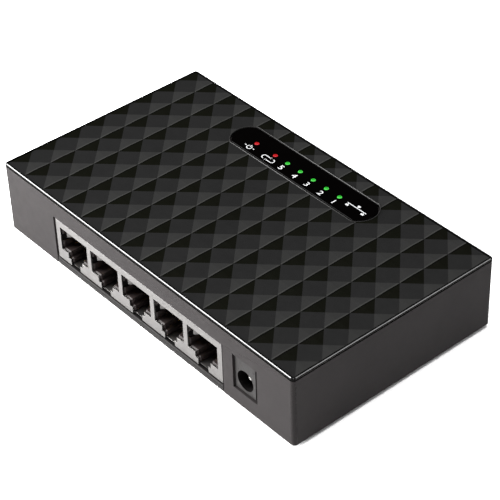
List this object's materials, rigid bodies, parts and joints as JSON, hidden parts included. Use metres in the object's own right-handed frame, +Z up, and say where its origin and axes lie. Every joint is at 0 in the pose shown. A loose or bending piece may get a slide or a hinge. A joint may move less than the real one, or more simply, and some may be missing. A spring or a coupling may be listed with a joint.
{
  "type": "desktop network switch",
  "caption": "Small flat desktop network switch: a grey case with a row of shielded sockets, a round power inlet, a faceted black top panel and a long indicator window.",
  "frame": {"origin": "centre of the bounding box at table level, under the middle of the case", "axes": "+X along the row of sockets towards the power inlet, -Y out of the sockets, +Z up"},
  "size_m": [0.123, 0.0704, 0.0239],
  "materials": {
    "case_plastic": "satin, fine grain",
    "cover_plastic": "matt, fine grain",
    "panel_plastic": "satin, faceted",
    "window_acrylic": "polished, smoked black",
    "red_light": "clear, lit red",
    "green_light": "clear, lit green",
    "foot_rubber": "matt",
    "screw_steel": "zinc plated",
    "shield_steel": "satin nickel plate",
    "housing_plastic": "satin",
    "contact_gold": "gold plated",
    "jack_plastic": "satin",
    "pin_nickel": "nickel plated",
    "board_green": "solder mask",
    "chip_epoxy": "moulded epoxy",
    "magnetics_plastic": "moulded",
    "can_aluminium": "satin",
    "ferrite_grey": "matt",
    "led_package": "matt"
  },
  "bodies": {
    "root": {"board_screw_1": "screw_steel", "board_screw_2": "screw_steel", "board_screw_3": "screw_steel", "board_screw_4": "screw_steel", "bottom_cover": "cover_plastic", "capacitor_1": "can_aluminium", "capacitor_2": "can_aluminium", "contact_insert_1": "contact_gold", "contact_insert_2": "contact_gold", "contact_insert_3": "contact_gold", "contact_insert_4": "contact_gold", "contact_insert_5": "contact_gold", "cover_screw_front_left": "screw_steel", "cover_screw_front_right": "screw_steel", "cover_screw_rear_left": "screw_steel", "cover_screw_rear_right": "screw_steel", "crystal": "can_aluminium", "indicator_window": "window_acrylic", "led_loop": "led_package", "led_port_1": "led_package", "led_port_2": "led_package", "led_port_3": "led_package", "led_port_4": "led_package", "led_port_5": "led_package", "led_power": "led_package", "light_pipe_loop": "red_light", "light_pipe_port_1": "green_light", "light_pipe_port_2": "green_light", "light_pipe_port_3": "green_light", "light_pipe_port_4": "green_light", "light_pipe_port_5": "green_light", "light_pipe_power": "red_light", "magnetics_1": "magnetics_plastic", "magnetics_2": "magnetics_plastic", "magnetics_3": "magnetics_plastic", "magnetics_4": "magnetics_plastic", "magnetics_5": "magnetics_plastic", "main_board": "board_green", "memory_chip": "chip_epoxy", "patterned_top_panel": "panel_plastic", "power_inductor": "ferrite_grey", "power_jack_body": "jack_plastic", "power_jack_pin": "pin_nickel", "power_jack_spring": "pin_nickel", "rubber_foot_front_left": "foot_rubber", "rubber_foot_front_right": "foot_rubber", "rubber_foot_rear_left": "foot_rubber", "rubber_foot_rear_right": "foot_rubber", "socket_gang_housing": "housing_plastic", "socket_gang_shield": "shield_steel", "switch_chip": "chip_epoxy", "top_shell": "case_plastic", "voltage_regulator": "chip_epoxy"}
  },
  "joints": []
}
